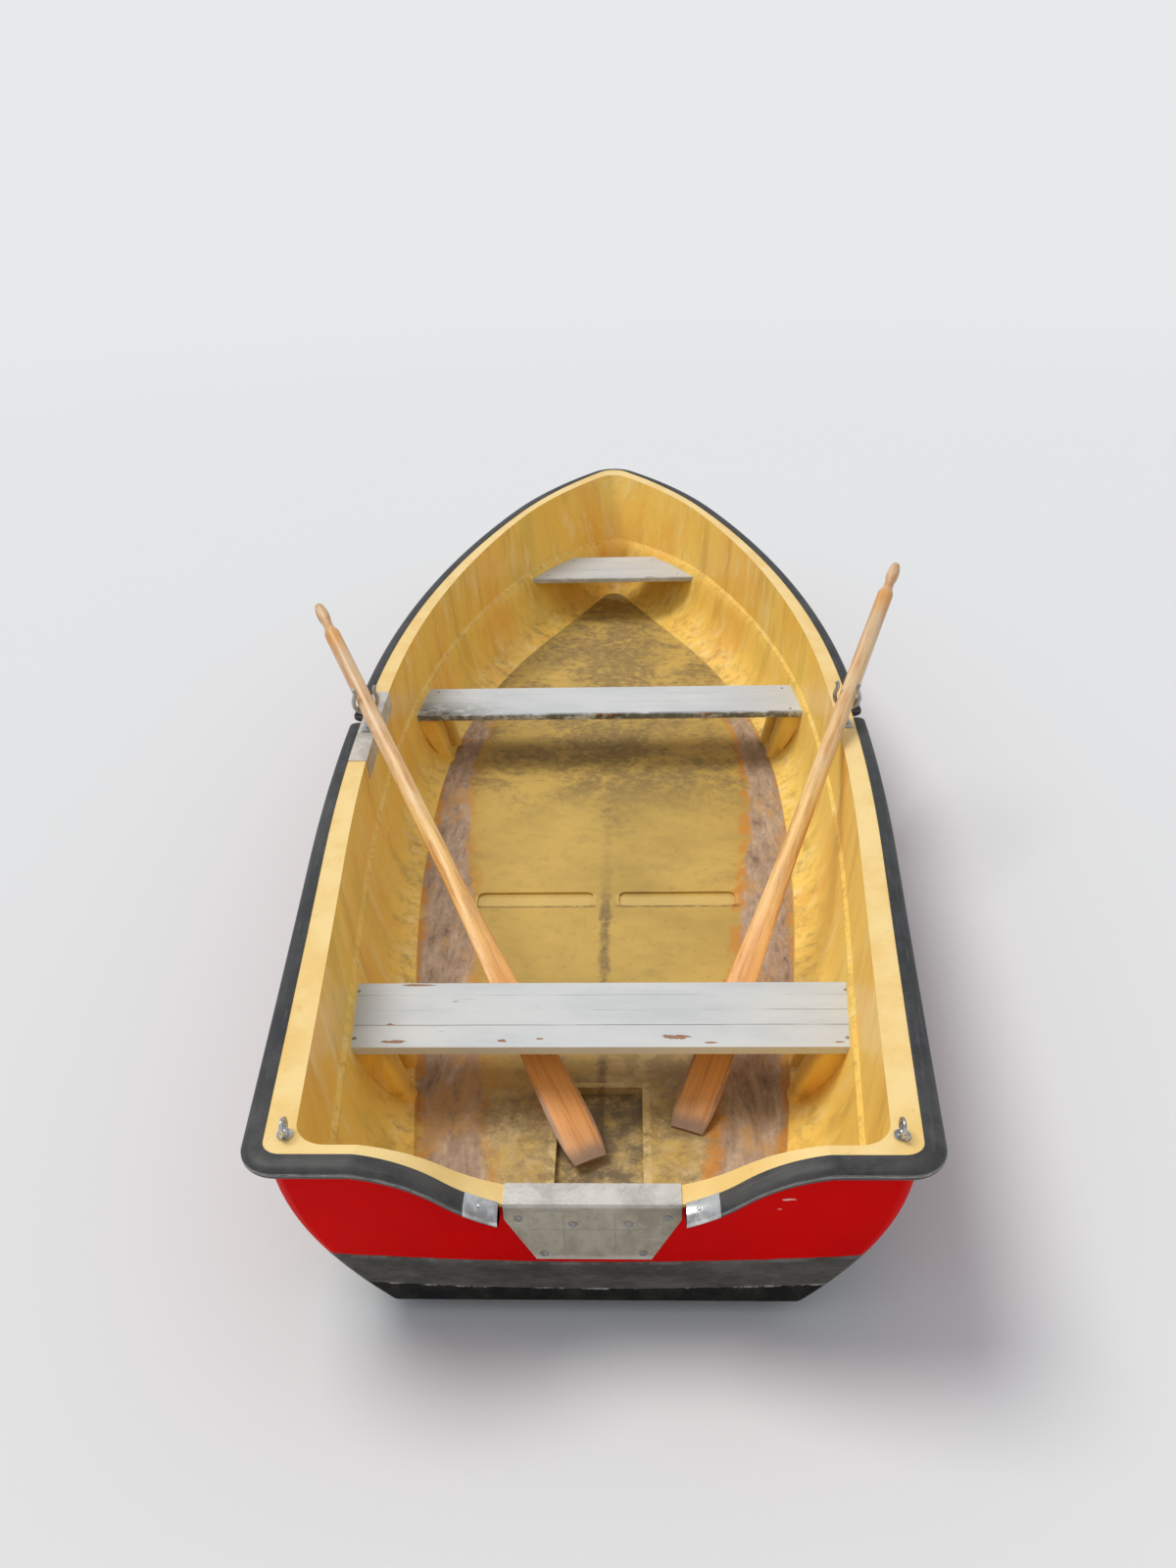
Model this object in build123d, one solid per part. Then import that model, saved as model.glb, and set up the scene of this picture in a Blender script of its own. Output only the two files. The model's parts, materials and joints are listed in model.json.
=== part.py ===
from build123d import *
from functools import cache
from math import atan2, cos, degrees, radians, sin
import os

# Moulded open rowing boat afloat, with three seats, a rubber fender and two oars in horn rowlocks.
# The origin is on the centreline amidships at the waterline: +X to starboard, +Y to the bow, +Z up.
# Stations are counted forward from the transom's top edge, and lengths are in millimetres.

# Main sizes
amidships = 2200.0
widest_station = 2050.0
straight_run = 1000.0
fore_run = 592.0
transom_rake = 0.13
transom_height = 341.0

# Walls
hull_skin = 6.0
bottom_skin = 8.0
liner_skin = 5.0
floor_thickness = 15.0
flange_thickness = 8.0

# Heights above the water: two low arcs from stern through the middle to the bow, and the flat floor
sheer_points = ((-200.0, 481.0), (1900.0, 462.0), (4600.0, 577.0))
bottom_points = ((-200.0, 76.0), (2000.0, -75.0), (4400.0, 70.0))
floor_height = 62.0

# Outer hull: height, half breadth at the transom, widest, at the fore run, stem, half width of the nose
hull_levels = (
    (-120.0, 220.0, 480.0, 215.0, 4060.0, 40.0),
    (0.0, 360.0, 600.0, 330.0, 4135.0, 45.0),
    (120.0, 460.0, 662.0, 400.0, 4196.0, 50.0),
    (300.0, 546.0, 706.0, 440.0, 4276.0, 55.0),
    (460.0, 562.0, 727.0, 423.0, 4348.0, 58.0),
    (620.0, 574.0, 746.0, 400.0, 4417.0, 60.0),
)

# Inside of the liner up to its knuckle: the same columns, and the station of its aft wall
tub_levels = (
    (30.0, 310.0, 505.0, 215.0, 3950.0, 40.0, 168.0),
    (62.0, 360.0, 560.0, 275.0, 4010.0, 42.0, 136.0),
    (100.0, 415.0, 615.0, 345.0, 4085.0, 45.0, 108.0),
    (170.0, 460.0, 648.0, 385.0, 4135.0, 48.0, 88.0),
    (275.0, 491.0, 665.0, 404.0, 4189.0, 50.0, 72.0),
)

# Inside of the liner above its knuckle, with straight walls
wall_levels = (
    tub_levels[-1],
    (285.0, 500.0, 674.0, 413.0, 4198.0, 50.0, 62.0),
    (640.0, 526.0, 702.0, 392.0, 4352.0, 55.0, -42.0),
)

# Rim, where hull and liner meet and the fender is pushed on, at the height of the transom's dip
rim_half_aft = 565.0
rim_half_max = 737.0
rim_half_fore = 399.0
rim_stem = 4421.0
rim_nose = 60.0
hull_corner = 38.0
liner_corner = 62.0
rim_lap = 1.0

# Fender, which leaves the motor's place and a gap ahead of each rowlock free
fender_width = 36.0
fender_height = 38.0
fender_above_rim = 2.0
fender_gap_start = 1765.0
fender_gap_length = 78.0

# Dip in the transom's top edge for an outboard motor: its flat, where its curve turns, and its end
dip_flat_half = 160.0
dip_slope = 20.6
dip_turn_half = 262.0
dip_turn_height = 404.0
dip_end_half = 456.0
dip_end_height = 480.0
dip_reach = 160.0

# Seats: station of the aft edge, depth, how far the ends are let into the walls
seat_top = 255.0
seat_thickness = 20.0
seat_clearance = 0.3
seat_places = {
    "aft_seat": (520.0, 228.0, 24.0),
    "mid_seat": (2240.0, 232.0, 7.0),
    "bow_seat": (3680.0, 310.0, 16.0),
}

# Moulded ribs that carry the two long seats, two under each end with a flute between them
rib_seats = ("aft_seat", "mid_seat")
rib_offset = 58.0
rib_top_length = 84.0
rib_foot_length = 46.0
rib_top_reach = 58.0
rib_foot_reach = 10.0
rib_foot_height = 20.0
rib_round = 16.0
rib_into_wall = 30.0

# Floor: two pressed pads and the sump at the stern
pad_station = 1358.0
pad_length = 72.0
pad_inner = 37.0
pad_outer = 370.0
pad_depth = 7.0
pad_round = 20.0
sump_half = 94.0
sump_front = 607.0
sump_back = 185.0
sump_depth = 18.0

# Keel and bilge strakes on the bottom
keel_width = 44.0
keel_depth = 28.0
keel_start = 130.0
keel_end = 3950.0
strake_offset = 300.0
strake_width = 26.0
strake_depth = 16.0
strake_start = 500.0
strake_end = 3350.0

# Aluminium sheets
sheet = 3.0
plate_half_top = 158.0
plate_half_bottom = 105.0
plate_drop = 158.0
plate_shoulder = 40.0
plate_top_depth = 46.0
gunwale_sheet_start = 1500.0
gunwale_sheet_length = 470.0
gunwale_sheet_drop = 55.0

# Fender's steel end caps
cap_start = 165.0
cap_length = 65.0
cap_skin = 2.0

# Rowlocks and their sockets
lock_station = 1712.0
lock_half = 702.0
pin_radius = 6.0
pin_length = 40.0
pin_clearance = 0.15
socket_wall = 2.5
socket_depth = 34.0
socket_plate = (34.0, 64.0, 3.0)
seat_gap = 0.4
collar_radius = 11.0
collar_height = 6.0
collar_gap = 0.3
lock_neck = 35.0
horn_radius = 36.0
horn_rod = 6.0
horn_half_angle = 118.0
horn_tip_half = 33.0
horn_tip_height = 78.0

# Oars: the blade's sections by distance from the tip, half width, half thickness
oar_length = 2065.0
loom_radius = 24.0
blade_sections = (
    (0.0, 37.0, 4.5),
    (30.0, 43.0, 6.0),
    (220.0, 43.5, 6.5),
    (580.0, 30.0, 7.6),
    (780.0, 25.0, 16.0),
    (900.0, 24.0, 22.0),
    (1000.0, loom_radius, loom_radius),
)
grip_length = 150.0
shoulder_length = 32.0
neck_length = 30.0
neck_radius = 15.0
bulb_radius = 19.5
end_radius = 13.0
blade_tip_gap = 0.3
loom_drop = 3.9
blade_tips = {-1: (-18.0, 376.0), 1: (189.0, 466.0)}

# Eyes
eye_ring = 15.0
eye_rod = 4.0
eye_rod_flats = 12
eye_base_radius = 14.0
eye_base_height = 4.0
stern_eye_half = 533.0
stern_eye_station = 28.0
bow_eye_height = 330.0
bow_eye_gap = 0.3

# Heights far above and below the boat, for cutting shapes
cut_low = -500.0
cut_high = 900.0


def at(station):
    """Station counted from the transom, as a place along Y."""
    return station - amidships


def transom_station(height):
    """Station of the raked transom's outer face at a height."""
    return (transom_height - height) * transom_rake


def half_outline(aft, half_aft, half_max, half_fore, stem, nose):
    """Edges of one closed plan outline: nose, two bow arcs, side arc and straight run, on each side."""
    turn = 1 + 2 * (straight_run - aft) / (widest_station - straight_run)
    half_run = half_max - (half_max - half_aft) / turn
    widest = (half_max, at(widest_station))
    fore = (half_fore, at(stem - fore_run))
    run = (half_run, at(straight_run))
    corner = (half_aft, at(aft))
    nose_start = (nose, at(stem - 0.45 * nose))
    bow_arc = TangentArc(widest, fore, tangent=(0, 1))
    stem_arc = TangentArc(fore, nose_start, tangent=bow_arc % 1)
    side_arc = TangentArc(widest, run, tangent=(0, -1))
    straight = Line(run, corner)
    nose_arc = TangentArc(nose_start, (-nose, nose_start[1]), tangent=stem_arc % 1)
    starboard = [stem_arc, bow_arc, side_arc, straight]
    port = [mirror(edge, about=Plane.YZ) for edge in starboard]
    back = Line(corner, (-half_aft, corner[1]))
    return [nose_arc, *starboard, back, *port]


def outline(height, aft, half_aft, half_max, half_fore, stem, nose, corner_radius):
    """One plan outline as a face at its height, with rounded stern corners."""
    face = make_face(half_outline(aft, half_aft, half_max, half_fore, stem, nose))
    corners = face.vertices().sort_by(Axis.Y)[:2]
    return Pos(0, 0, height) * fillet(corners, corner_radius)


@cache
def hull_form(inset):
    """The outer hull's round sides, set in by a skin."""
    faces = []
    for height, half_aft, half_max, half_fore, stem, nose in hull_levels:
        aft = transom_station(height) + inset
        sizes = (half_aft - inset, half_max - inset, half_fore - inset, stem - inset, nose - inset)
        faces.append(outline(height, aft, *sizes, hull_corner - inset))
    return loft(faces)


def liner_faces(levels, offset):
    """Plan outlines of the liner's inner space at some levels, set out by an offset."""
    faces = []
    for height, half_aft, half_max, half_fore, stem, nose, aft in levels:
        sizes = (half_aft + offset, half_max + offset, half_fore + offset, stem + offset, nose + offset)
        faces.append(outline(height, aft - offset, *sizes, liner_corner + offset))
    return faces


@cache
def liner_form(offset):
    """The liner's inner space: a rounded tub under straight walls, set out by an offset."""
    return loft(liner_faces(tub_levels, offset)) + loft(liner_faces(wall_levels, offset), ruled=True)


@cache
def rim_prism(offset):
    """The space inside the rim's outline, raked like the transom, set out by an offset."""
    sizes = (rim_half_aft + offset, rim_half_max + offset, rim_half_fore + offset)
    back = -offset * (1 + transom_rake**2) ** 0.5
    face = outline(0, back, *sizes, rim_stem + offset, rim_nose + offset, hull_corner + offset)
    rake = Vector(0, -transom_rake, 1)
    start = rake * (cut_low - transom_height) + Vector(0, 0, transom_height)
    return extrude(Pos(*start) * face, amount=rake.length * (cut_high - cut_low), dir=rake)


def side_arc(points, lift):
    """A low arc along the boat, seen from the side."""
    return ThreePointArc(*[(at(station), height + lift) for station, height in points])


def below(points, lift):
    """Everything under a side arc."""
    arc = side_arc(points, lift)
    start, end = arc @ 0, arc @ 1
    edges = [
        arc,
        Line(end, (end.X, cut_low)),
        Line((end.X, cut_low), (start.X, cut_low)),
        Line((start.X, cut_low), start),
    ]
    return extrude(Plane.YZ * make_face(edges), amount=1000, both=True)


def dip(lift):
    """The space above the dip in the transom's top edge."""
    low = transom_height + lift
    high = dip_end_height + lift
    turn = (dip_turn_half, dip_turn_height + lift)
    slope = radians(dip_slope)
    flat = Line((-dip_flat_half, low), (dip_flat_half, low))
    rise = TangentArc((dip_flat_half, low), turn, tangent=(cos(slope), sin(slope)))
    shoulder = TangentArc(turn, (dip_end_half, high), tangent=rise % 1)
    half = [rise, shoulder, Line((dip_end_half, high), (dip_end_half, cut_high))]
    edges = [flat, *half, *[mirror(edge, about=Plane.YZ) for edge in half]]
    edges.append(Line((-dip_end_half, cut_high), (dip_end_half, cut_high)))
    face = Plane.XZ * make_face(edges)
    return Pos(0, at(dip_reach), 0) * extrude(face, amount=dip_reach + 200)


@cache
def below_rim(lift):
    """Everything under the rim's top, with the dip at the stern."""
    return below(sheer_points, lift) - dip(lift)


def bottom_rib(offset, width, depth, start, end):
    """A moulded rib along the bottom, rooted in its skin."""
    band = below(bottom_points, bottom_skin / 2) - below(bottom_points, -depth)
    return band & Pos(offset, at((start + end) / 2), 0) * Box(width, end - start, 600)


def make_hull():
    """The outer skin, open at the top, with its keel and bilge strakes."""
    outer = (hull_form(0) & below_rim(-flange_thickness)) - below(bottom_points, 0)
    outer &= rim_prism(-rim_lap)
    body = outer - (hull_form(hull_skin) - below(bottom_points, bottom_skin))
    body += bottom_rib(0, keel_width, keel_depth, keel_start, keel_end)
    for side in (-1, 1):
        offset = side * strake_offset
        body += bottom_rib(offset, strake_width, strake_depth, strake_start, strake_end)
    return body


def seat_block(name, grow):
    """A seat board with its ends let into the walls, grown on every side."""
    station, depth, let_in = seat_places[name]
    size = (2 * rim_half_max, depth + 2 * grow, seat_thickness + 2 * grow)
    block = Pos(0, at(station + depth / 2), seat_top - seat_thickness / 2) * Box(*size)
    return liner_form(let_in + grow) & block


def wall_half(station, height):
    """Half breadth of the liner's inside at a station and a height."""
    section = liner_form(0) & Pos(0, at(station), height) * Box(2 * rim_half_max, 1, 1)
    return section.bounding_box().max.X


def seat_ribs():
    """The moulded ribs that stand against the walls under both ends of the long seats."""
    ribs = []
    for name in rib_seats:
        station, depth, _ = seat_places[name]
        top_level = seat_top - seat_thickness
        for middle in (station + depth / 2 - rib_offset, station + depth / 2 + rib_offset):
            sections = (
                (floor_height - rib_foot_height, rib_foot_reach, rib_foot_length),
                (top_level, rib_top_reach, rib_top_length),
            )
            for side in (-1, 1):
                faces = []
                for level, reach, length in sections:
                    wall = wall_half(middle, max(level, floor_height))
                    centre = side * (wall + (rib_into_wall - reach) / 2)
                    face = RectangleRounded(reach + rib_into_wall, length, rib_round)
                    faces.append(Pos(centre, at(middle), level) * face)
                ribs.append(loft(faces))
    return ribs


def make_liner():
    """The inner moulding: rim flange, walls with their knuckle, floor, seat pockets and ribs."""
    space = liner_form(0) - floor_layer(cut_low, 0)
    shell = liner_form(liner_skin) - floor_layer(cut_low, -floor_thickness)
    shell = shell & below_rim(-flange_thickness / 2)
    slab = (rim_prism(0) & below_rim(0)) - below_rim(-flange_thickness)
    body = shell + slab
    for name in seat_places:
        body += seat_block(name, seat_clearance + liner_skin)
    body -= space
    inside = liner_form(liner_skin / 2) - floor_layer(cut_low, -floor_thickness / 2)
    for rib in seat_ribs():
        body += rib & inside
    for name in seat_places:
        body -= seat_block(name, seat_clearance)
    body += sump(liner_skin, 0)
    body -= sump(0, sump_depth)
    for side in (-1, 1):
        body -= lock_hole(side)
        size = (pad_outer - pad_inner, pad_length)
        centre = side * (pad_inner + pad_outer) / 2
        pad = Pos(centre, at(pad_station + pad_length / 2), 0) * RectangleRounded(*size, pad_round)
        body -= extrude(pad, amount=cut_high) & floor_layer(-pad_depth, pad_depth)
    return body


def floor_layer(low, high):
    """A flat layer between two levels, counted from the floor's top."""
    size = (2 * rim_half_max, 2 * rim_stem, high - low)
    return Pos(0, 0, floor_height + (low + high) / 2) * Box(*size)


def sump(grow, above):
    """The tray sunk in the floor at the stern, grown by a skin."""
    tray = floor_layer(-sump_depth - grow, above)
    length = sump_front - sump_back + 2 * grow
    middle = at((sump_front + sump_back) / 2)
    return tray & Pos(0, middle, 0) * Box(2 * (sump_half + grow), length, cut_high)


def lock_hole(side):
    """The hole through the rim for a rowlock's tube."""
    radius = pin_radius + pin_clearance + socket_wall + pin_clearance
    return Pos(side * lock_half, at(lock_station), rim_height(lock_station)) * Cylinder(radius, 60)


def stretch(centre, station, width, length):
    """A tall block that picks out a stretch of the rim."""
    return Pos(centre, at(station), 0) * Box(width, length, 2 * cut_high)


def fender_band(skin):
    """The fender's band round the rim, grown by a skin."""
    band = rim_prism(fender_width + skin) - rim_prism(0)
    top = fender_above_rim + skin
    return (band & below_rim(top)) - below_rim(top - fender_height - 2 * skin)


@cache
def make_fender():
    """The rubber on the rim, in three lengths."""
    band = fender_band(0) - stretch(0, 0, 2 * cap_start, 400)
    middle = fender_gap_start + fender_gap_length / 2
    return band - stretch(0, middle, 4 * rim_half_max, fender_gap_length)


def make_cap(side):
    """A folded steel end on the fender."""
    centre = side * (cap_start + cap_length / 2)
    return (fender_band(cap_skin) & stretch(centre, 0, cap_length, 400)) - make_fender()


def make_transom_plate():
    """The motor's sheet, folded over the transom's dip and down its outer face."""
    low = transom_height - plate_drop
    points = [
        (-plate_half_top, transom_height + 10),
        (-plate_half_top, transom_height - plate_shoulder),
        (-plate_half_bottom, low),
        (plate_half_bottom, low),
        (plate_half_top, transom_height - plate_shoulder),
        (plate_half_top, transom_height + 10),
    ]
    face = Plane.XZ * make_face(Polyline(*points, close=True))
    prism = Pos(0, at(120), 0) * extrude(face, amount=240)
    high = transom_height + sheet
    out = sheet * (1 + transom_rake**2) ** 0.5
    outer = [
        (at(transom_station(low) - out), low),
        (at(transom_station(high) - out), high),
        (at(plate_top_depth), high),
        (at(plate_top_depth), transom_height),
        (at(0), transom_height),
        (at(transom_station(low)), low),
    ]
    fold = extrude(Plane.YZ * make_face(Polyline(*outer, close=True)), amount=400, both=True)
    return prism & fold


def make_gunwale_sheet():
    """The port sheet over the rim flange under the rowlock, folded down inside."""
    top = (rim_prism(-rim_lap) & below_rim(sheet)) - below_rim(0) - liner_form(-sheet)
    leg = liner_form(0) - liner_form(-sheet)
    leg = (leg & below_rim(sheet)) - below_rim(-gunwale_sheet_drop)
    middle = gunwale_sheet_start + gunwale_sheet_length / 2
    reach = stretch(-rim_half_max, middle, rim_half_max, gunwale_sheet_length)
    return (top & reach) + (leg & reach) - lock_hole(-1)


def make_eye(radius):
    """An eye of rod with small flats on a round base, standing on the XY plane."""
    base = Cylinder(eye_base_radius, eye_base_height, align=(Align.CENTER, Align.CENTER, Align.MIN))
    ring = revolve(Pos(radius, 0, 0) * RegularPolygon(eye_rod, eye_rod_flats), Axis.Y)
    return base + Pos(0, 0, eye_base_height + radius) * (Rot(0, 0, 90) * ring)


def rim_height(station):
    """Height of the rim's top at a station."""
    arc = side_arc(sheer_points, 0)
    centre = arc.arc_center
    return centre.Y - (arc.radius**2 - (at(station) - centre.X) ** 2) ** 0.5


def lock_seat(side):
    """Top of the socket's plate, which the rowlock's collar turns on."""
    lift = sheet if side < 0 else 0.0
    return rim_height(lock_station) + lift + seat_gap + socket_plate[2]


def make_socket(side):
    """The rowlock's tube and plate in the rim."""
    down = (Align.CENTER, Align.CENTER, Align.MAX)
    tube = Cylinder(pin_radius + pin_clearance + socket_wall, socket_depth, align=down)
    body = tube + Box(*socket_plate, align=down)
    bore = Cylinder(pin_radius + pin_clearance, socket_depth, align=down)
    return Pos(side * lock_half, at(lock_station), lock_seat(side)) * (body - bore)


def oar_line(side):
    """Blade tip and the axis direction of an oar, from tip to handle."""
    height = lock_seat(side) + collar_height + lock_neck + horn_rod + horn_radius - loom_drop
    rest = Vector(side * lock_half, at(lock_station), height)
    tip_half, tip_station = blade_tips[side]
    tip = Vector(tip_half, at(tip_station), floor_height + blade_tip_gap)
    for _ in range(3):
        slope = (rest - tip).normalized().Z
        edge = blade_sections[0][2] * (1 - slope**2) ** 0.5
        tip = Vector(tip.X, tip.Y, floor_height + blade_tip_gap + edge)
    return tip, (rest - tip).normalized()


def make_horn():
    """One horn in the XZ plane: round the loom from the bottom up, then turned out at its tip."""
    turn = radians(horn_half_angle)
    places = [(horn_radius * sin(angle), horn_radius * (1 - cos(angle))) for angle in (0, turn / 2, turn)]
    round_arc = ThreePointArc(*places)
    tip_arc = TangentArc(places[-1], (horn_tip_half, horn_tip_height), tangent=round_arc % 1)
    path = Plane.XZ * Wire([round_arc, tip_arc])
    return sweep(Plane(origin=path @ 0, z_dir=path % 0) * Circle(horn_rod), path=path)


def make_rowlock(side):
    """Pin, collar and two horns, turned to face along its oar."""
    _, axis = oar_line(side)
    heading = degrees(atan2(axis.Y, axis.X)) - 90
    up = (Align.CENTER, Align.CENTER, Align.MIN)
    down = (Align.CENTER, Align.CENTER, Align.MAX)
    body = Cylinder(pin_radius, pin_length, align=down)
    body += Pos(0, 0, collar_gap) * Cylinder(collar_radius, collar_height - collar_gap, align=up)
    body += Cylinder(pin_radius, collar_height + lock_neck + horn_rod, align=up)
    horn = Pos(0, 0, collar_height + lock_neck + horn_rod) * make_horn()
    body += horn
    body += mirror(horn, about=Plane.YZ)
    return Pos(side * lock_half, at(lock_station), lock_seat(side)) * Rot(0, 0, heading) * body


def make_oar(side):
    """Blade, loom and grip along one axis, lying in its rowlock with its tip on the floor."""
    tip, axis = oar_line(side)
    blade = loft([Pos(0, 0, place) * Ellipse(wide, thick) for place, wide, thick in blade_sections])
    start = blade_sections[-1][0]
    shoulder = oar_length - grip_length
    neck = shoulder + shoulder_length
    grip = neck + neck_length
    outline_edges = [
        Line((0, start), (loom_radius, start)),
        Line((loom_radius, start), (loom_radius, shoulder)),
        Line((loom_radius, shoulder), (neck_radius, neck)),
        Line((neck_radius, neck), (neck_radius, grip)),
        ThreePointArc((neck_radius, grip), (bulb_radius, (grip + oar_length) / 2), (end_radius, oar_length)),
        Line((end_radius, oar_length), (0, oar_length)),
        Line((0, oar_length), (0, start)),
    ]
    shaft = revolve(Plane.XZ * make_face(outline_edges), Axis.Z)
    plane = Plane(origin=tip, z_dir=axis, x_dir=Vector(axis.Y, -axis.X, 0))
    return plane * (blade + shaft)


def make_stern_eye(side):
    """An eye on the rim at a stern corner."""
    top = rim_height(stern_eye_station) + seat_gap
    return Pos(side * stern_eye_half, at(stern_eye_station), top) * make_eye(eye_ring)


def stem_place(height):
    """The foremost point of the stem at a height."""
    section = hull_form(0) & (Pos(0, 0, height) * Box(10, 2 * rim_stem, 1))
    return Vector(0, section.bounding_box().max.Y, height)


def make_bow_eye():
    """An eye on the raked stem."""
    low, high = stem_place(bow_eye_height - eye_ring), stem_place(bow_eye_height + eye_ring)
    normal = Vector(0, high.Z - low.Z, low.Y - high.Y).normalized()
    seat = (low + high) / 2 + normal * bow_eye_gap
    return Plane(origin=seat, z_dir=normal, x_dir=(1, 0, 0)) * make_eye(eye_ring)


parts = {
    "hull_shell": make_hull(),
    "inner_liner": make_liner(),
    "fender": make_fender(),
    "transom_plate": make_transom_plate(),
    "gunwale_sheet": make_gunwale_sheet(),
    "bow_eye": make_bow_eye(),
}
for seat in seat_places:
    parts[seat] = seat_block(seat, 0)
for side, word in ((-1, "port"), (1, "starboard")):
    parts[f"fender_cap_{word}"] = make_cap(side)
    parts[f"stern_eye_{word}"] = make_stern_eye(side)
    parts[f"rowlock_socket_{word}"] = make_socket(side)
    parts[f"rowlock_{word}"] = make_rowlock(side)
    parts[f"oar_{word}"] = make_oar(side)

os.makedirs("parts", exist_ok=True)
for name, shape in parts.items():
    solids = shape.solids()
    export_step(solids[0] if len(solids) == 1 else Compound(solids), f"parts/{name}.step")
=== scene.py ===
"""Looks of the rowing boat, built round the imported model."""
import json
import math

import bpy
from mathutils import Matrix, Vector


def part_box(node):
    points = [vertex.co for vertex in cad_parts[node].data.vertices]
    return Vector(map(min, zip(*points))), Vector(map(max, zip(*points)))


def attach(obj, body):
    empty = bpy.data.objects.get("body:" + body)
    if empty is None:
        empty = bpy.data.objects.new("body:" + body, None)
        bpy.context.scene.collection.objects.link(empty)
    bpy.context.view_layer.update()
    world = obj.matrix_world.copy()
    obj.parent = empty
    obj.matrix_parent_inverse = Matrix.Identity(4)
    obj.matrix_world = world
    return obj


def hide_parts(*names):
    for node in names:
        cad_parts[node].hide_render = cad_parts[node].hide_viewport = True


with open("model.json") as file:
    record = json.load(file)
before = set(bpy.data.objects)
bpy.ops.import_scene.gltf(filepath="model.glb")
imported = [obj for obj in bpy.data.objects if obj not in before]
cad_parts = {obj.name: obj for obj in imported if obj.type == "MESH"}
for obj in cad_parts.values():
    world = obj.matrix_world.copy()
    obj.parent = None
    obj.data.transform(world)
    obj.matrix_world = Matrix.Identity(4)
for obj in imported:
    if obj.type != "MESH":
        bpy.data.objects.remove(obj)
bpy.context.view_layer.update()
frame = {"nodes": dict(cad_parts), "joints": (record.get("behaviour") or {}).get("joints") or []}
nodes = frame["nodes"]
joints = {joint["name"]: joint for joint in frame["joints"]}
scene = bpy.context.scene
scene.view_settings.view_transform = "Standard"

# Sizes from the boat's source, in millimetres
AMIDSHIPS = 2200.0
RAKE = 0.13
TRANSOM = 341.0
SHEER = ((-200.0, 481.0), (1900.0, 462.0), (4600.0, 577.0))
RIM = {"half_aft": 565.0, "half_max": 737.0, "half_fore": 399.0, "stem": 4421.0, "nose": 60.0, "corner": 38.0}
WIDEST, STRAIGHT, FORE_RUN = 2050.0, 1000.0, 592.0
FENDER = {"width": 36.0, "height": 38.0, "above": 2.0}
GAP = (1765.0, 1843.0)
DIP = {"flat": 160.0, "slope": 20.6, "turn": (262.0, 404.0), "end": (456.0, 480.0), "reach": 160.0}
CAP = (165.0, 230.0)
MM = 0.001


# Camera, light and floor

# Where the photograph was taken from: place in metres, angles in degrees, and lens by the frame's long side
CAMERA_PLACE = (0.0765, -3.7446, 2.0)
PITCH, YAW, ROLL = 28.006, -2.322, -1.614
FRAME = 1600
FOCAL = 1245.2
SENSOR = 36.0

# Colour of the backdrop, strengths of sky and sun, and the way to the sun
PALE = (0.80, 0.81, 0.82)
SKY = 0.60
SUN = 1.75
SUN_WIDTH = 30
TO_SUN = (-0.48, 0.20, 1.0)


def add_camera():
    """The camera, where the photograph was taken from."""
    pitch, yaw, roll = (math.radians(angle) for angle in (PITCH, YAW, ROLL))
    ahead = Vector((math.sin(yaw) * math.cos(pitch), math.cos(yaw) * math.cos(pitch), -math.sin(pitch)))
    right = Vector((math.cos(yaw), -math.sin(yaw), 0.0))
    up = right.cross(ahead)
    right, up = (right * math.cos(roll) + up * math.sin(roll), up * math.cos(roll) - right * math.sin(roll))
    data = bpy.data.cameras.new("camera")
    data.sensor_width = SENSOR
    data.lens = FOCAL / FRAME * SENSOR
    data.clip_end = 200.0
    camera = bpy.data.objects.new("camera", data)
    turn = Matrix((right, up, -ahead)).transposed().to_4x4()
    camera.matrix_world = Matrix.Translation(CAMERA_PLACE) @ turn
    scene.collection.objects.link(camera)
    scene.camera = camera


def add_light():
    """An even pale sky and one soft sun from above the port side."""
    world = bpy.data.worlds.new("world")
    scene.world = world
    world.use_nodes = True
    tree = world.node_tree
    tree.nodes.clear()
    out = tree.nodes.new("ShaderNodeOutputWorld")
    mix = tree.nodes.new("ShaderNodeMixShader")
    path = tree.nodes.new("ShaderNodeLightPath")
    sky = tree.nodes.new("ShaderNodeBackground")
    seen = tree.nodes.new("ShaderNodeBackground")
    sky.inputs["Color"].default_value = (0.93, 0.96, 1.0, 1.0)
    sky.inputs["Strength"].default_value = SKY
    seen.inputs["Color"].default_value = (*PALE, 1.0)
    seen.inputs["Strength"].default_value = 1.0
    tree.links.new(path.outputs["Is Camera Ray"], mix.inputs[0])
    tree.links.new(sky.outputs[0], mix.inputs[1])
    tree.links.new(seen.outputs[0], mix.inputs[2])
    tree.links.new(mix.outputs[0], out.inputs[0])
    data = bpy.data.lights.new("sun", "SUN")
    data.energy = SUN
    data.angle = math.radians(SUN_WIDTH)
    data.color = (1.0, 0.97, 0.92)
    sun = bpy.data.objects.new("sun", data)
    sun.rotation_euler = Vector(TO_SUN).to_track_quat("Z", "Y").to_euler()
    scene.collection.objects.link(sun)


# Node trees as short calls

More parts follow.
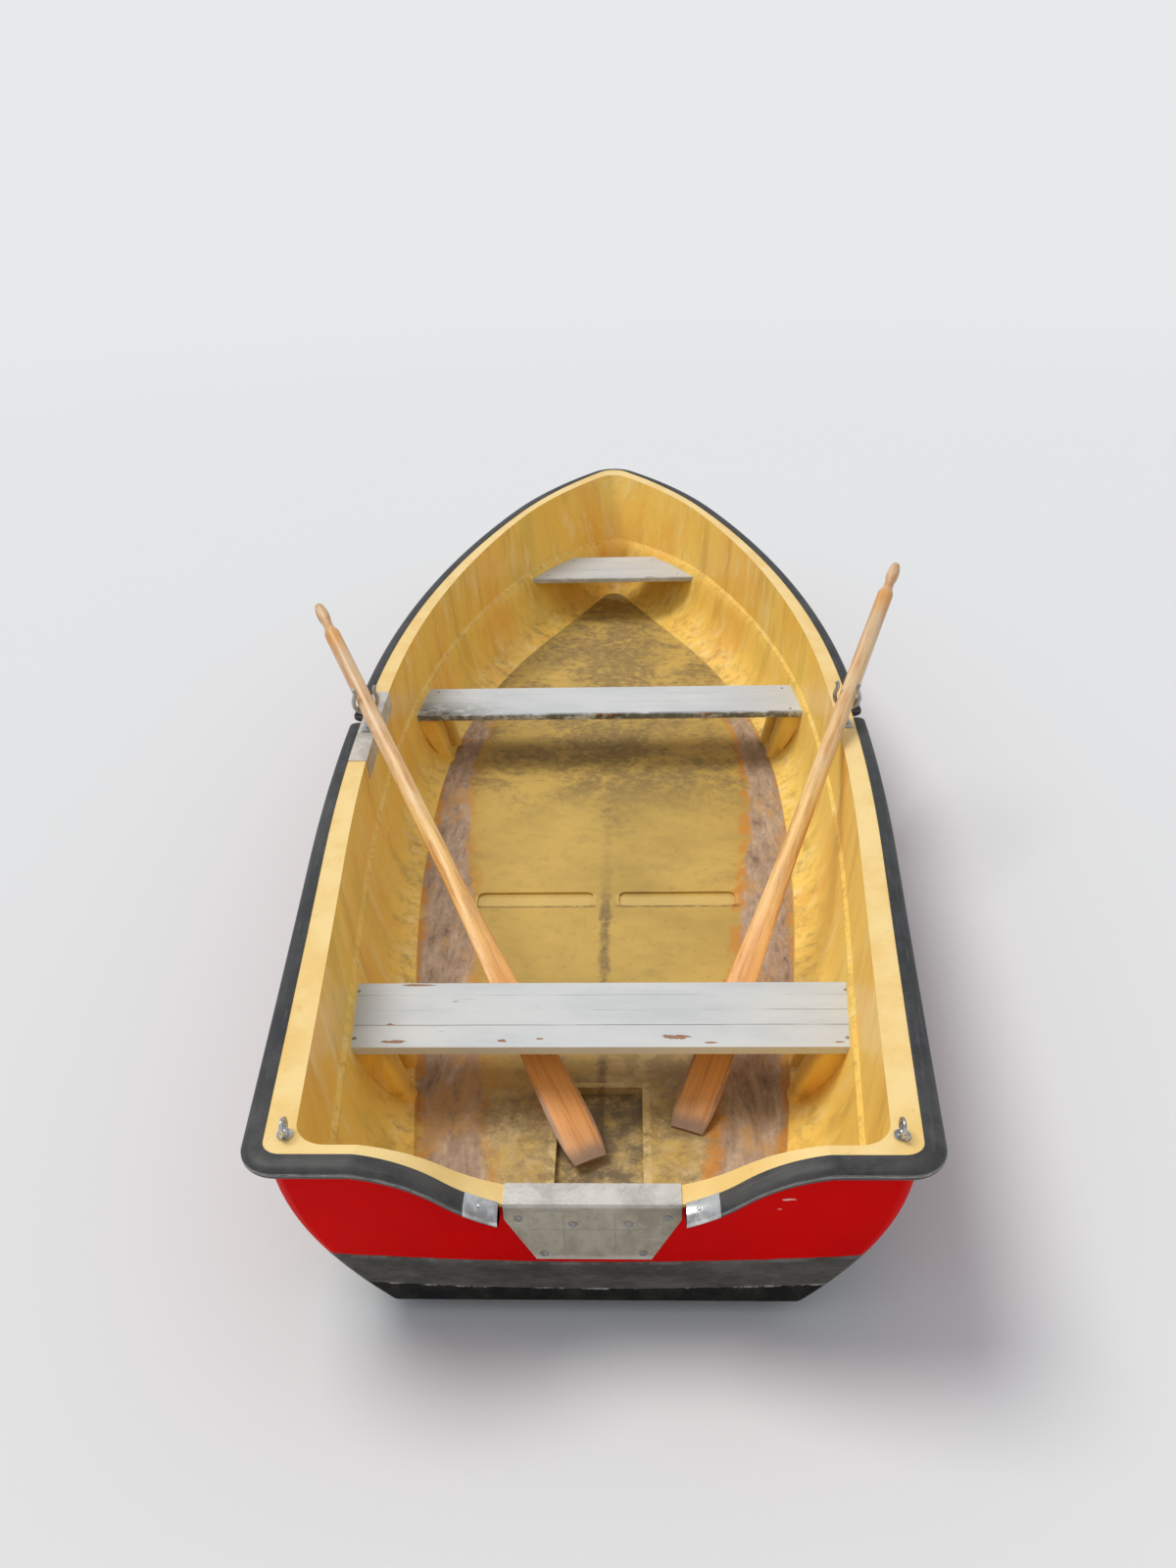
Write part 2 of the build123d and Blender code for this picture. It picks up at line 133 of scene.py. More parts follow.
class Graph:
    """A material's node tree."""

    def __init__(self, name):
        self.material = bpy.data.materials.new(name)
        self.material.use_nodes = True
        self.tree = self.material.node_tree
        self.tree.nodes.clear()
        self.output = self.tree.nodes.new("ShaderNodeOutputMaterial")
        self.shader = self.tree.nodes.new("ShaderNodeBsdfPrincipled")
        self.tree.links.new(self.shader.outputs[0], self.output.inputs[0])
        self.source = self.tree.nodes.new("ShaderNodeTexCoord")
        self.place = self.source.outputs["Object"]
        self.uv = self.source.outputs["UV"]

    def put(self, socket, value):
        if isinstance(value, bpy.types.NodeSocket):
            self.tree.links.new(value, socket)
        elif isinstance(value, tuple) and len(value) == 3 and len(socket.default_value) == 4:
            socket.default_value = (*value, 1.0)
        else:
            socket.default_value = value

    def math(self, kind, *values):
        node = self.tree.nodes.new("ShaderNodeMath")
        node.operation = kind
        for socket, value in zip(node.inputs, values):
            self.put(socket, value)
        return node.outputs[0]

    def add(self, a, b):
        return self.math("ADD", a, b)

    def times(self, a, b):
        return self.math("MULTIPLY", a, b)

    def less(self, a, b):
        return self.math("SUBTRACT", a, b)

    def invert(self, a):
        return self.math("SUBTRACT", 1.0, a)

    def most(self, a, b):
        return self.math("MAXIMUM", a, b)

    def split(self, vector):
        node = self.tree.nodes.new("ShaderNodeSeparateXYZ")
        self.put(node.inputs[0], vector)
        return node.outputs[0], node.outputs[1], node.outputs[2]

    def join(self, x, y, z):
        node = self.tree.nodes.new("ShaderNodeCombineXYZ")
        for socket, value in zip(node.inputs, (x, y, z)):
            self.put(socket, value)
        return node.outputs[0]

    def scaled(self, vector, sizes):
        node = self.tree.nodes.new("ShaderNodeVectorMath")
        node.operation = "MULTIPLY"
        self.put(node.inputs[0], vector)
        node.inputs[1].default_value = sizes
        return node.outputs[0]

    def dot(self, vector, other):
        node = self.tree.nodes.new("ShaderNodeVectorMath")
        node.operation = "DOT_PRODUCT"
        self.put(node.inputs[0], vector)
        node.inputs[1].default_value = other
        return node.outputs["Value"]

    def moved(self, vector, by):
        node = self.tree.nodes.new("ShaderNodeVectorMath")
        node.operation = "SUBTRACT"
        self.put(node.inputs[0], vector)
        node.inputs[1].default_value = by
        return node.outputs[0]

    def noise(self, scale, detail=4.0, rough=0.55, where=None, stretch=None, twist=0.0):
        node = self.tree.nodes.new("ShaderNodeTexNoise")
        vector = self.place if where is None else where
        if stretch is not None:
            vector = self.scaled(vector, stretch)
        self.put(node.inputs["Vector"], vector)
        node.inputs["Scale"].default_value = scale
        node.inputs["Detail"].default_value = detail
        node.inputs["Roughness"].default_value = rough
        node.inputs["Distortion"].default_value = twist
        return node.outputs["Fac"]

    def soft(self, value, start, end, low=0.0, high=1.0):
        node = self.tree.nodes.new("ShaderNodeMapRange")
        node.interpolation_type = "SMOOTHSTEP"
        self.put(node.inputs["Value"], value)
        node.inputs["From Min"].default_value = start
        node.inputs["From Max"].default_value = end
        node.inputs["To Min"].default_value = low
        node.inputs["To Max"].default_value = high
        return node.outputs[0]

    def between(self, value, start, end, edge):
        """1 between start and end, falling off over an edge."""
        rise = self.soft(value, start - edge, start + edge)
        fall = self.soft(value, end - edge, end + edge, 1.0, 0.0)
        return self.times(rise, fall)

    def mix(self, share, low, high):
        node = self.tree.nodes.new("ShaderNodeMix")
        node.data_type = "RGBA"
        self.put(node.inputs[0], share)
        self.put(node.inputs[6], low)
        self.put(node.inputs[7], high)
        return node.outputs[2]

    def lay(self, colour, paint, share, amount):
        """Paint laid over a colour: share from 0 to 1 says where, and amount how strongly."""
        return self.mix(self.times(share, amount), colour, paint)

    def patch(self, scale, detail, rough, start, end, low=0.0, high=1.0, **lie):
        """A noise cut to soft-edged patches."""
        return self.soft(self.noise(scale, detail, rough, **lie), start, end, low, high)

    def curve(self, value, points):
        """A smooth curve through points, both scales from 0 to 1."""
        node = self.tree.nodes.new("ShaderNodeFloatCurve")
        line = node.mapping.curves[0]
        line.points[0].location = points[0]
        line.points[1].location = points[-1]
        for point in points[1:-1]:
            line.points.new(*point)
        node.mapping.update()
        self.put(node.inputs["Value"], value)
        return node.outputs[0]

    def ramp(self, value, stops):
        node = self.tree.nodes.new("ShaderNodeValToRGB")
        ramp = node.color_ramp
        ramp.elements[0].position, ramp.elements[1].position = stops[0][0], stops[-1][0]
        ramp.elements[0].color = (*stops[0][1], 1.0)
        ramp.elements[1].color = (*stops[-1][1], 1.0)
        for place, colour in stops[1:-1]:
            ramp.elements.new(place).color = (*colour, 1.0)
        self.put(node.inputs[0], value)
        return node.outputs[0]

    def normal(self):
        return self.tree.nodes.new("ShaderNodeNewGeometry").outputs["Normal"]

    def bump(self, height, strength, distance):
        node = self.tree.nodes.new("ShaderNodeBump")
        node.inputs["Strength"].default_value = strength
        node.inputs["Distance"].default_value = distance
        self.put(node.inputs["Height"], height)
        self.tree.links.new(node.outputs[0], self.shader.inputs["Normal"])

    def finish(self, colour, rough, metal=0.0, coat=0.0, specular=0.5):
        self.put(self.shader.inputs["Base Color"], colour)
        self.put(self.shader.inputs["Roughness"], rough)
        self.put(self.shader.inputs["Metallic"], metal)
        self.shader.inputs["Coat Weight"].default_value = coat
        self.shader.inputs["Specular IOR Level"].default_value = specular
        return self.material


# Materials

# Places on the liner, in metres from amidships and the waterline
RIM_FADE = (0.30, 0.33)
LEDGE = (0.268, 0.283)
FLOOR_FADE = (0.0655, 0.0630)
# On the pads, a painted highlight goes on the lip and painted shade on the line aft of it
PADS = {"across": (0.03, 0.38), "lip_highlight": (-0.832, -0.785), "line": (-0.850, -0.838)}
SUMP = {"half": 0.094, "aft": -2.015, "fore": -1.593, "ridge": 0.016}

# Floor's edge: share of the boat's length from the stern, and half breadth in metres
FLOOR_EDGE = (
    (0.02, 0.34),
    (0.09, 0.405),
    (0.175, 0.462),
    (0.273, 0.522),
    (0.386, 0.563),
    (0.505, 0.568),
    (0.568, 0.544),
    (0.636, 0.494),
    (0.727, 0.385),
    (0.795, 0.270),
    (0.9, 0.07),
)


def wall_colour(g, z, wall, fine):
    """Cloudy ochre, with tints and streaks that run down it and dust in the low corners and on the ledge."""
    colour = g.mix(g.patch(1.8, 5.0, 0.6, 0.3, 0.7), (0.93, 0.59, 0.115), (0.97, 0.68, 0.165))
    tint = g.noise(3.2, 4.0, 0.6, stretch=(1.0, 1.0, 0.25))
    colour = g.lay(colour, (0.86, 0.43, 0.075), g.soft(tint, 0.50, 0.66), 0.50)
    colour = g.lay(colour, (0.66, 0.49, 0.10), g.soft(tint, 0.47, 0.32), 0.50)
    colour = g.lay(colour, (0.70, 0.42, 0.085), g.soft(fine, 0.5, 0.75), 0.30)
    streaks = g.patch(9.0, 5.0, 0.7, 0.50, 0.66, stretch=(1.0, 1.0, 0.12))
    colour = g.lay(colour, (0.58, 0.34, 0.07), g.times(streaks, wall), 0.42)
    pale = g.patch(14.0, 4.0, 0.6, 0.53, 0.70, stretch=(1.0, 1.0, 0.3))
    colour = g.lay(colour, (0.98, 0.78, 0.38), g.times(pale, wall), 0.50)
    low = g.times(g.soft(z, 0.16, 0.065), wall)
    colour = g.lay(colour, (0.30, 0.20, 0.055), g.times(low, g.patch(24.0, 6.0, 0.7, 0.46, 0.70)), 0.6)
    ledge = g.times(g.between(z, *LEDGE, 0.006), wall)
    return g.lay(colour, (0.24, 0.15, 0.05), g.times(ledge, g.patch(60.0, 5.0, 0.7, 0.5, 0.66)), 0.45)


def rim_bleach_and_light(g):
    """Bleached and painted paler, as light falls on the rim's top, with a few small stains."""
    bleached = g.mix(g.patch(7.0, 4.0, 0.6, 0.35, 0.7), (0.93, 0.69, 0.30), (0.86, 0.58, 0.20))
    return g.lay(bleached, (0.46, 0.29, 0.10), g.patch(70.0, 4.0, 0.7, 0.62, 0.74), 0.45)


def floor_colour(g, x, y, side, floor):
    """Ochre with silt astern, worn bands with rusty borders along the edges, and a painted highlight on the
    pads' lips; and the bands' mask.
    """
    along = g.math("DIVIDE", g.add(y, 2.2), 4.4)
    wobble = g.times(g.less(g.noise(5.0, 8.0, 0.78), 0.5), 0.12)
    inside = g.add(g.less(g.curve(along, FLOOR_EDGE), side), wobble)
    width = g.soft(y, 0.3, -1.0, 0.095, 0.155)
    across = g.math("DIVIDE", inside, width)
    reach = g.soft(y, 0.52, 0.36)
    worn = g.times(g.between(across, 0.10, 1.0, 0.06), g.times(reach, floor))

    scrape = g.noise(11.0, 8.0, 0.80, stretch=(2.6, 0.8, 1.0), twist=0.3)
    stops = [
        (0.32, (0.15, 0.10, 0.07)),
        (0.43, (0.34, 0.235, 0.165)),
        (0.55, (0.47, 0.34, 0.25)),
        (0.68, (0.62, 0.47, 0.34)),
    ]
    blotch = g.patch(6.0, 7.0, 0.75, 0.50, 0.60, stretch=(1.6, 0.8, 1.0))
    bare = g.lay(g.ramp(scrape, stops), (0.56, 0.31, 0.10), blotch, 0.65)

    ochre = g.mix(g.patch(2.6, 5.0, 0.65, 0.35, 0.68), (0.60, 0.405, 0.105), (0.46, 0.31, 0.08))
    ochre = g.lay(ochre, (0.36, 0.25, 0.075), g.patch(9.0, 7.0, 0.75, 0.50, 0.68, twist=0.4), 0.40)
    ground = g.lay(ochre, (0.30, 0.20, 0.07), g.patch(30.0, 6.0, 0.72, 0.54, 0.72), 0.40)
    film = g.times(g.soft(y, -1.15, -1.65), g.patch(5.0, 7.0, 0.75, 0.36, 0.56))
    silt = g.mix(g.patch(9.0, 8.0, 0.80, 0.42, 0.58), (0.60, 0.455, 0.25), (0.31, 0.225, 0.13))
    ground = g.lay(ground, silt, film, 0.80)
    ground = g.mix(worn, ground, bare)

    inner_border = g.times(g.between(across, 0.97, 1.17, 0.07), g.soft(x, -0.3, 0.3, 0.5, 1.0))
    stain = g.most(g.between(across, -0.06, 0.15, 0.06), inner_border)
    rusty = g.times(g.times(stain, reach), g.patch(8.0, 6.0, 0.75, 0.40, 0.52))
    ground = g.lay(ground, (0.58, 0.235, 0.035), rusty, 0.85)
    # painted highlight: the pads' lips drawn paler, as light falls on their rounded tops
    lip_highlight = g.times(g.between(side, *PADS["across"], 0.01), g.between(y, *PADS["lip_highlight"], 0.008))
    return g.lay(ground, (0.80, 0.60, 0.24), lip_highlight, 0.35), worn


def floor_grime_and_shade(g, y, side, worn, crumbs):
    """Where dark dirt lies: the seam, round the middle seat and all over the stern; and painted shade in a
    line at the foot of the pads' lips.
    """
    mud = g.noise(6.0, 8.0, 0.78, twist=0.6)
    both = g.add(g.times(mud, 0.7), g.times(crumbs, 0.3))
    smudge = g.add(side, g.times(g.less(g.noise(11.0, 6.0, 0.7), 0.5), 0.05))
    strong = g.soft(y, -0.72, -0.86, 0.25, 1.0)
    broken = g.patch(7.0, 6.0, 0.7, 0.36, 0.50, stretch=(1.0, 0.6, 1.0))
    seam = g.times(g.times(g.soft(smudge, 0.020, 0.004), strong), broken)
    halo = g.times(g.soft(side, 0.16, 0.0), g.times(g.soft(mud, 0.50, 0.64), g.soft(y, -0.55, -0.25)))
    middle = g.times(g.soft(side, 0.30, 0.0), 0.08)
    sludge = g.times(g.soft(y, -0.42, -0.02), g.soft(g.add(both, middle), 0.46, 0.60))
    aft = g.times(g.soft(y, -1.30, -1.75), g.soft(both, 0.46, 0.60))
    fore = g.times(g.soft(y, 0.15, 0.42), g.soft(both, 0.42, 0.60))
    # painted shade: a dark line at the foot of the pads' lips, where their shadow falls
    line = g.times(g.between(y, *PADS["line"], 0.006), g.between(side, *PADS["across"], 0.01))
    line = g.times(line, g.soft(crumbs, 0.34, 0.56))
    grime_and_shade = g.times(seam, 0.75)
    for place, amount in ((halo, 0.65), (aft, 0.50), (fore, 0.7), (sludge, 0.62), (line, 0.75)):
        grime_and_shade = g.most(grime_and_shade, g.times(place, amount))
    return g.times(grime_and_shade, g.invert(g.times(worn, 0.55)))


def sump_colour(g, ground, y, side, crumbs):
    """The sump filthy inside, with a pale ridge round it."""
    half, aft, fore, ridge = SUMP["half"], SUMP["aft"], SUMP["fore"], SUMP["ridge"]
    tray = g.times(g.soft(side, half + 0.002, half - 0.002), g.between(y, aft, fore, 0.003))
    kerb = g.soft(side, half + ridge + 0.004, half + ridge - 0.002)
    kerb = g.times(kerb, g.between(y, aft - ridge, fore + ridge, 0.003))
    # a pale ring drawn on the ridge round the sump
    pale_ridge = g.times(g.less(kerb, tray), g.soft(crumbs, 0.62, 0.42))
    ground = g.lay(ground, (0.70, 0.54, 0.26), pale_ridge, 0.65)
    filth = g.times(tray, g.patch(14.0, 7.0, 0.78, 0.38, 0.54))
    return g.lay(ground, (0.13, 0.098, 0.06), filth, 0.78)


def liner_material():
    """Yellow gelcoat: a rim bleached and painted paler where light falls on it, streaked walls, and a floor
    with worn and dirty places, painted light and shade at the pads' lips and a pale ridge round the sump.
    """
    g = Graph("yellow_gelcoat")
    x, y, z = g.split(g.place)
    side = g.math("ABSOLUTE", x)
    up = g.split(g.normal())[2]
    fine = g.noise(38.0, 5.0, 0.65)
    grain = g.noise(260.0, 3.0, 0.6)
    crumbs = g.noise(34.0, 6.0, 0.75)
    # the rim: upward faces up high, bleached and also painted paler as light falls on them
    rim = g.times(g.soft(z, *RIM_FADE), g.soft(up, 0.45, 0.8))
    floor = g.soft(z, *FLOOR_FADE)
    wall = g.times(g.invert(rim), g.invert(floor))

    colour = g.mix(rim, wall_colour(g, z, wall, fine), rim_bleach_and_light(g))
    ground, worn = floor_colour(g, x, y, side, floor)
    grime_and_shade = floor_grime_and_shade(g, y, side, worn, crumbs)
    # dark mire where the floor is dirty, and as painted shade at the foot of the pads' lips
    mire = g.mix(g.soft(crumbs, 0.35, 0.65), (0.24, 0.165, 0.085), (0.12, 0.085, 0.048))
    ground = g.mix(g.times(grime_and_shade, g.soft(crumbs, 0.26, 0.5)), ground, mire)
    ground = sump_colour(g, ground, y, side, crumbs)
    ground = g.lay(ground, (0.10, 0.065, 0.03), g.patch(120.0, 3.0, 0.6, 0.70, 0.74), 0.7)
    colour = g.mix(floor, colour, ground)

    dull = g.times(g.most(g.times(grime_and_shade, floor), g.times(floor, 0.5)), 0.45)
    rough = g.add(g.add(0.32, dull), g.times(fine, 0.12))
    relief = g.add(fine, g.times(grime_and_shade, g.times(floor, 1.5)))
    g.bump(g.add(g.times(grain, 0.4), relief), 0.22, 0.0012)
    return g.finish(colour, rough, specular=0.3)


# Boot top's lower and upper line over the waterline amidships
BOOT_TOP = (0.0845, 0.1695)


def hull_material():
    """Red gelcoat over a grey boot top and a near black bottom, all scuffed."""
    g = Graph("red_gelcoat")
    x, y, z = g.split(g.place)
    level = g.add(g.times(g.times(x, x), 0.10), g.times(g.add(y, 2.2), 0.006))
    ragged = g.times(g.less(g.noise(40.0, 4.0, 0.7), 0.5), 0.006)
    above = g.add(g.less(z, level), ragged)
    red = g.mix(g.patch(2.5, 5.0, 0.6, 0.3, 0.7), (0.56, 0.0, 0.0), (0.70, 0.0, 0.0))
    chalk = g.times(g.patch(3.0, 7.0, 0.8, 0.52, 0.80), g.patch(90.0, 4.0, 0.7, 0.45, 0.75))
    red = g.lay(red, (0.72, 0.06, 0.04), chalk, 0.12)
    scratch = g.noise(30.0, 7.0, 0.85, stretch=(0.25, 0.25, 1.8), twist=1.2)
    red = g.lay(red, (0.78, 0.24, 0.18), g.soft(scratch, 0.69, 0.75), 0.40)
    nick = g.patch(26.0, 3.0, 0.5, 0.755, 0.775, stretch=(0.5, 0.5, 2.2))
    red = g.lay(red, (0.80, 0.60, 0.52), nick, 0.8)
    worn = g.patch(10.0, 7.0, 0.75, 0.35, 0.65, stretch=(0.5, 0.5, 1.2))
    grey = g.mix(worn, (0.060, 0.057, 0.050), (0.130, 0.122, 0.108))
    grey = g.lay(grey, (0.25, 0.24, 0.21), g.soft(scratch, 0.62, 0.70), 0.5)
    pale_line = g.times(g.between(above, 0.160, 0.168, 0.004), g.patch(14.0, 5.0, 0.7, 0.42, 0.6, 0.0, 0.5))
    grey = g.mix(pale_line, grey, (0.26, 0.25, 0.225))
    black = g.mix(g.patch(20.0, 5.0, 0.7, 0.4, 0.7), (0.014, 0.014, 0.013), (0.034, 0.033, 0.029))
    low, high = BOOT_TOP
    colour = g.mix(g.soft(above, low - 0.001, low + 0.001), black, grey)
    colour = g.mix(g.soft(above, high - 0.001, high + 0.001), colour, red)
    edge = g.times(g.between(above, low - 0.0025, low + 0.0025, 0.002), g.patch(18.0, 4.0, 0.7, 0.50, 0.62))
    colour = g.lay(colour, (0.42, 0.40, 0.36), edge, 0.8)
    rough = g.add(0.28, g.times(g.noise(12.0, 5.0, 0.7), 0.25))
    g.bump(g.noise(70.0, 4.0, 0.6), 0.08, 0.001)
    return g.finish(colour, rough, specular=0.03)


def rubber_material():
    """Black rubber, dusty on top and scuffed pale along its outermost line."""
    g = Graph("black_rubber")
    y = g.split(g.place)[1]
    along, around, _ = g.split(g.uv)
    dust = g.noise(5.0, 7.0, 0.75)
    colour = g.mix(g.soft(dust, 0.38, 0.72), (0.020, 0.021, 0.023), (0.060, 0.060, 0.062))
    stern = g.times(g.soft(y, -2.02, -2.19), g.patch(9.0, 6.0, 0.7, 0.34, 0.62))
    colour = g.lay(colour, (0.120, 0.115, 0.108), stern, 0.35)
    lie = g.join(g.times(along, 0.25), g.times(around, 0.6), 0.0)
    colour = g.lay(colour, (0.16, 0.155, 0.15), g.patch(24.0, 6.0, 0.75, 0.52, 0.74, where=lie), 0.5)
    ridge = g.between(around, 0.44, 0.52, 0.03)
    scuff = g.noise(60.0, 7.0, 0.8, where=g.join(g.times(along, 0.5), g.times(around, 1.5), 0.0))
    broken = g.patch(2.4, 4.0, 0.6, 0.38, 0.56, 0.35, 1.0)
    colour = g.mix(g.times(g.times(ridge, broken), g.soft(scuff, 0.46, 0.56)), colour, (0.44, 0.43, 0.40))
    cuts = g.patch(50.0, 5.0, 0.7, 0.71, 0.75, twist=2.0)
    colour = g.lay(colour, (0.50, 0.48, 0.44), cuts, 0.7)
    g.bump(g.add(g.noise(180.0, 4.0, 0.6), g.times(scuff, ridge)), 0.25, 0.0015)
    return g.finish(colour, g.add(0.38, g.times(dust, 0.25)), specular=0.35)


def seat_material(name, low, high, chips, cracks, mildew):
    """Grey paint on a board: long cracks with the grain, chips to the wood at named places, and specks."""
    g = Graph(f"grey_paint_{name}")
    x, y, _ = g.split(g.place)
    share = g.math("DIVIDE", g.less(y, low.y), high.y - low.y)
    faded = g.patch(3.0, 6.0, 0.65, 0.3, 0.7, stretch=(1.0, 3.0, 1.0))
    paint = g.mix(faded, (0.545, 0.57, 0.59), (0.645, 0.66, 0.66))
    grain = g.noise(14.0, 8.0, 0.75, stretch=(0.30, 9.0, 9.0))
    paint = g.lay(paint, (0.40, 0.41, 0.41), g.soft(grain, 0.54, 0.72), 0.30)
    fleck = g.patch(36.0, 6.0, 0.75, 0.64, 0.70, stretch=(0.35, 1.6, 1.0))
    paint = g.lay(paint, (0.15, 0.14, 0.13), g.times(fleck, g.soft(x, 0.1, -0.5, 0.25, 1.0)), 0.75)

    # the long cracks wander a little across the board
    wander = g.times(g.less(g.noise(3.5, 3.0, 0.5, stretch=(1.0, 0.2, 0.2)), 0.5), 0.020)
    for place, weight, seed in cracks:
        off = g.math("ABSOLUTE", g.less(g.less(share, place), wander))
        lie = g.moved(g.place, (seed, seed, 0.0))
        there = g.patch(2.2, 4.0, 0.6, 0.37, 0.52, where=lie, stretch=(1.0, 0.1, 0.1))
        line = g.times(g.soft(off, 0.0095, 0.002), there)
        paint = g.mix(g.times(line, weight), paint, (0.085, 0.075, 0.07))

    # chips: blots at given places, torn by a fine noise, each with a pale rim of lifted paint
    tear = g.noise(34.0, 7.0, 0.78, stretch=(1.0, 1.6, 1.0))
    blot = 0.0
    for cx, cy, rx, ry in chips:
        dx = g.times(g.less(x, cx), 1.0 / rx)
        dy = g.times(g.less(y, cy), 1.0 / ry)
        far = g.math("SQRT", g.add(g.times(dx, dx), g.times(dy, dy)))
        blot = g.most(blot, g.soft(far, 1.4, 0.2))
    to_edge = g.math("MINIMUM", g.less(y, low.y), g.less(high.y, y))
    near_edge = g.soft(to_edge, 0.006, 0.0, 0.0, 0.008)
    chance = g.add(g.add(g.times(blot, 0.34), near_edge), g.times(tear, 0.85))
    bare = g.soft(chance, 0.640, 0.654)
    wood = g.mix(g.noise(30.0, 6.0, 0.7, stretch=(0.3, 8.0, 8.0)), (0.20, 0.095, 0.055), (0.44, 0.26, 0.16))
    ring = g.times(g.soft(chance, 0.618, 0.642), g.invert(bare))
    paint = g.lay(paint, (0.76, 0.76, 0.75), ring, 0.55)
    colour = g.mix(bare, paint, wood)

    # black mildew along the after edge and in the port corner
    if mildew:
        corner = g.times(g.soft(x, -0.25, -0.62), g.soft(share, 0.75, 0.0))
        edge = g.times(g.soft(share, 0.10, 0.0), g.patch(2.6, 5.0, 0.7, 0.28, 0.48))
        spots = g.patch(30.0, 7.0, 0.8, 0.38, 0.52, stretch=(0.6, 1.4, 1.0))
        colour = g.lay(colour, (0.055, 0.06, 0.04), g.times(g.most(corner, edge), spots), 0.85 * mildew)
    g.bump(g.add(g.times(g.invert(bare), 1.6), g.times(grain, 0.7)), 0.5, 0.0009)
    return g.finish(colour, g.add(0.42, g.times(bare, 0.35)), specular=0.4)


# Varnish along an oar: share of its length from the blade's tip, and colour
VARNISH = (
    (0.0, (0.60, 0.34, 0.17)),
    (0.05, (0.82, 0.385, 0.13)),
    (0.22, (0.88, 0.43, 0.13)),
    (0.36, (0.97, 0.58, 0.20)),
    (0.50, (0.97, 0.65, 0.26)),
    (0.68, (0.82, 0.54, 0.27)),
    (0.86, (0.70, 0.50, 0.30)),
    (0.91, (0.74, 0.36, 0.10)),
    (0.95, (0.74, 0.50, 0.27)),
    (1.0, (0.72, 0.50, 0.29)),
)


def wood_material(name, tip, axis, length):
    """Varnished pine: grain along the oar, bleached on the loom and dark where the varnish has gone."""
    g = Graph(f"pine_{name}")
    aside = Vector((axis.y, -axis.x, 0.0)).normalized()
    top = axis.cross(aside)
    local = g.moved(g.place, tip)
    along, across, height = g.dot(local, axis), g.dot(local, aside), g.dot(local, top)
    grain = g.noise(55.0, 8.0, 0.72, where=g.join(g.times(along, 0.05), across, height), twist=0.35)
    shade = g.ramp(g.math("DIVIDE", along, length), VARNISH)
    dark = g.mix(0.58, shade, (0.44, 0.15, 0.03))
    colour = g.mix(g.soft(grain, 0.42, 0.66), shade, dark)
    rings = g.noise(16.0, 3.0, 0.5, where=g.join(g.times(along, 0.06), across, g.times(height, 0.3)))
    lines = g.soft(g.math("ABSOLUTE", g.less(g.math("FRACT", g.times(rings, 9.0)), 0.5)), 0.12, 0.0)
    colour = g.lay(colour, (0.42, 0.15, 0.03), lines, 0.28)
    bleach = g.patch(7.0, 6.0, 0.7, 0.50, 0.72, where=g.join(g.times(along, 0.35), across, height))
    bleach = g.times(bleach, g.soft(along, 0.5, 1.1, 0.1, 0.55))
    colour = g.mix(bleach, colour, (0.93, 0.76, 0.51))
    worn = g.noise(40.0, 7.0, 0.8, where=g.join(g.times(along, 0.12), across, height), twist=0.8)
    spots = g.times(g.soft(worn, 0.58, 0.66), g.soft(along, 1.1, 0.15, 0.15, 0.80))
    colour = g.mix(spots, colour, (0.20, 0.115, 0.07))
    end = g.times(g.soft(g.add(along, g.times(g.less(worn, 0.5), 0.05)), 0.048, 0.010), 0.8)
    colour = g.mix(end, colour, (0.21, 0.155, 0.125))
    edge = g.soft(g.math("ABSOLUTE", across), 0.036, 0.042)
    edge = g.times(edge, g.times(g.soft(along, 0.62, 0.45), g.soft(worn, 0.38, 0.52)))
    colour = g.lay(colour, (0.22, 0.17, 0.15), edge, 0.75)
    g.bump(g.add(grain, g.times(spots, -1.0)), 0.25, 0.0008)
    return g.finish(colour, g.add(0.36, g.times(g.most(spots, end), 0.4)), specular=0.4)


def metal_material(name, light, dark, rough, metal, size, scratch=0.4):
    """A worn metal with cloudy oxide and fine scratches."""
    g = Graph(name)
    cloud = g.noise(size, 6.0, 0.7)
    colour = g.mix(g.soft(cloud, 0.35, 0.68), light, dark)
    lines = g.noise(70.0, 6.0, 0.8, stretch=(0.3, 1.0, 1.0), twist=1.0)
    colour = g.mix(g.times(g.soft(lines, 0.62, 0.72), scratch), colour, tuple(0.5 * c for c in dark))
    g.bump(g.add(g.noise(160.0, 4.0, 0.7), lines), 0.15, 0.0006)
    return g.finish(colour, g.add(rough, g.times(cloud, 0.22)), metal=metal)


